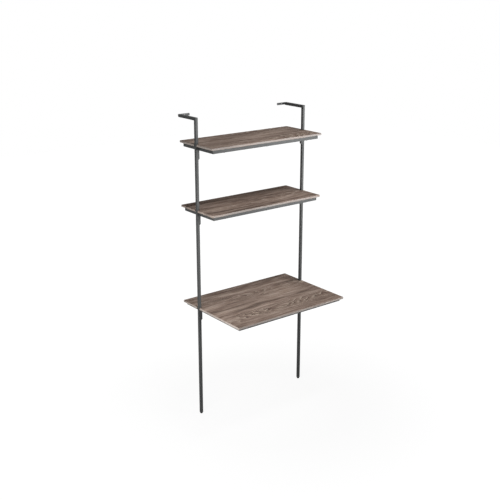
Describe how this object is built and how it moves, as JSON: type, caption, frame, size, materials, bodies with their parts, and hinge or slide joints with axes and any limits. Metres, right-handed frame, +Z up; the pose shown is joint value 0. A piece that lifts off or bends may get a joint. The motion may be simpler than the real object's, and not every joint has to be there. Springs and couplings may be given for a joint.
{
  "type": "wall desk",
  "caption": "Wall desk: slim square-tube uprights with arms fixed to the wall carry a deep wood desk top and shallower wood shelves on tube frames.",
  "frame": {"origin": "on the floor in the middle of the footprint, from the desk's front edge to the wall", "axes": "+X along the wall to the right as seen from the room, +Y to the wall, +Z up"},
  "size_m": [0.88, 0.62, 1.997],
  "materials": {
    "wood": "brown-grey open-grained wood with a satin finish",
    "powder_coated_steel": "charcoal powder coat, fine texture, low sheen",
    "black_oxide_steel": "black oxide bolts and screws",
    "zinc_plated_steel": "zinc-plated nuts",
    "black_plastic": "moulded black plastic, matt"
  },
  "bodies": {
    "frame": {"left_upright": "powder_coated_steel", "left_wall_arm": "powder_coated_steel", "left_wall_plate": "powder_coated_steel", "left_foot_insert": "black_plastic", "right_upright": "powder_coated_steel", "right_wall_arm": "powder_coated_steel", "right_wall_plate": "powder_coated_steel", "right_foot_insert": "black_plastic", "upper_shelf_board": "wood", "upper_shelf_front_rail": "powder_coated_steel", "upper_shelf_back_rail": "powder_coated_steel", "upper_shelf_left_rail": "powder_coated_steel", "upper_shelf_right_rail": "powder_coated_steel", "upper_shelf_left_tab": "powder_coated_steel", "upper_shelf_right_tab": "powder_coated_steel", "upper_shelf_tab_bolts": "black_oxide_steel", "upper_shelf_weld_nuts": "zinc_plated_steel", "upper_shelf_board_screws": "black_oxide_steel", "middle_shelf_board": "wood", "middle_shelf_front_rail": "powder_coated_steel", "middle_shelf_back_rail": "powder_coated_steel", "middle_shelf_left_rail": "powder_coated_steel", "middle_shelf_right_rail": "powder_coated_steel", "middle_shelf_left_tab": "powder_coated_steel", "middle_shelf_right_tab": "powder_coated_steel", "middle_shelf_tab_bolts": "black_oxide_steel", "middle_shelf_weld_nuts": "zinc_plated_steel", "middle_shelf_board_screws": "black_oxide_steel", "desk_board": "wood", "desk_front_rail": "powder_coated_steel", "desk_back_rail": "powder_coated_steel", "desk_left_rail": "powder_coated_steel", "desk_right_rail": "powder_coated_steel", "desk_left_tab": "powder_coated_steel", "desk_right_tab": "powder_coated_steel", "desk_tab_bolts": "black_oxide_steel", "desk_weld_nuts": "zinc_plated_steel", "desk_board_screws": "black_oxide_steel", "desk_centre_rail": "powder_coated_steel"},
    "left_foot": {"left_levelling_foot": "black_plastic"},
    "right_foot": {"right_levelling_foot": "black_plastic"}
  },
  "joints": [
    {"name": "left_foot_screw", "type": "slide", "parent": "frame", "child": "left_foot", "axis": [0, 0, -1], "range_m": [0, 0.012]},
    {"name": "right_foot_screw", "type": "slide", "parent": "frame", "child": "right_foot", "axis": [0, 0, -1], "range_m": [0, 0.012]}
  ]
}
